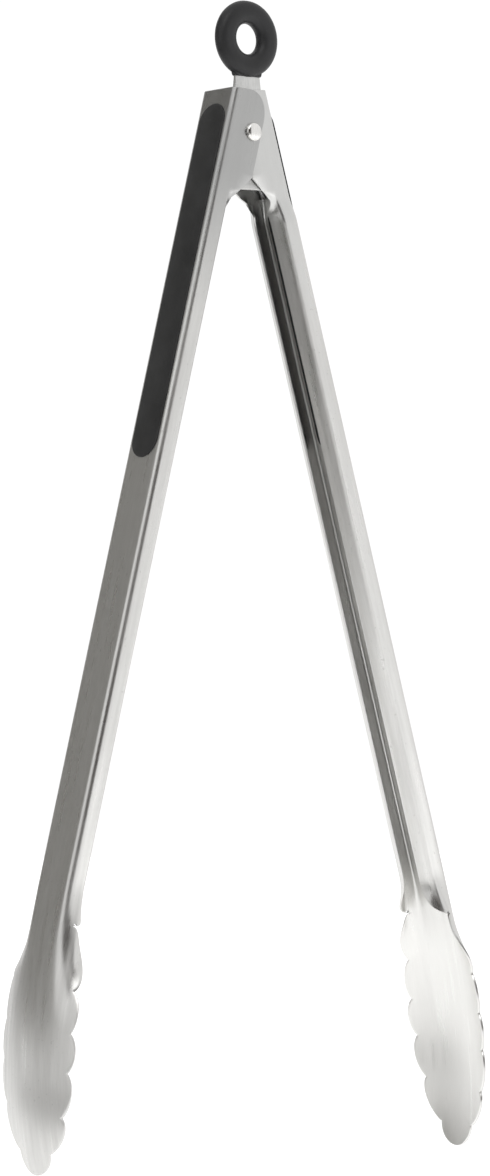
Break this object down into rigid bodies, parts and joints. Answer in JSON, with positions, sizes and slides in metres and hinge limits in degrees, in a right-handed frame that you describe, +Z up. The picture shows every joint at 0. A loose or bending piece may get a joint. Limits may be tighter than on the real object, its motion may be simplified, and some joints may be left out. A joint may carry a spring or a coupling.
{
  "type": "kitchen tongs",
  "caption": "Long sprung kitchen tongs with channel arms, scalloped dished heads, rubber back grips and a pull-ring lock that is also the hanging loop.",
  "frame": {"origin": "top of the ring's hole, in the ring's middle plane, where a hook carries the tongs", "axes": "+Z up towards the ring from the heads, +X from the left arm to the right arm, +Y from the front ears to the back ears along the rivet"},
  "size_m": [0.1902, 0.0384, 0.3912],
  "materials": {
    "arm_steel": "brushed along the arm, satin",
    "plate_steel": "tumbled satin",
    "rivet_steel": "bright headed steel",
    "spring_steel": "drawn wire",
    "ring_rubber": "satin moulded",
    "grip_rubber": "matt moulded, fine texture",
    "retainer_plastic": "matt moulded"
  },
  "bodies": {
    "pull_tab": {"lock_plate": "plate_steel", "ring_cover": "ring_rubber"},
    "hinge": {"pivot_rivet": "rivet_steel", "pivot_washer": "rivet_steel", "pivot_sleeve": "plate_steel", "torsion_spring": "spring_steel"},
    "left_arm": {"left_arm": "arm_steel", "left_grip": "grip_rubber", "left_grip_retainer": "retainer_plastic"},
    "right_arm": {"right_arm": "arm_steel", "right_grip": "grip_rubber", "right_grip_retainer": "retainer_plastic"}
  },
  "joints": [
    {"name": "lock_slide", "type": "slide", "parent": "pull_tab", "child": "hinge", "axis": [0, 0, -1], "range_m": [0, 0.008]},
    {"name": "left_arm_swing", "type": "hinge", "parent": "hinge", "child": "left_arm", "pos_m": [0, 0.0057, -0.0371], "axis": [0, -1, 0], "range_deg": [0, 14.6], "stiffness_Nm_per_rad": 0.85, "springref_deg": -16.84, "deforming": ["torsion_spring"]},
    {"name": "right_arm_swing", "type": "hinge", "parent": "hinge", "child": "right_arm", "pos_m": [0, 0.0057, -0.0371], "axis": [0, 1, 0], "range_deg": [0, 14.6], "stiffness_Nm_per_rad": 0.85, "springref_deg": -16.84, "deforming": ["torsion_spring"]}
  ],
  "couplings": [
    {"joint": "right_arm_swing", "follows": "left_arm_swing", "ratio": 1}
  ]
}
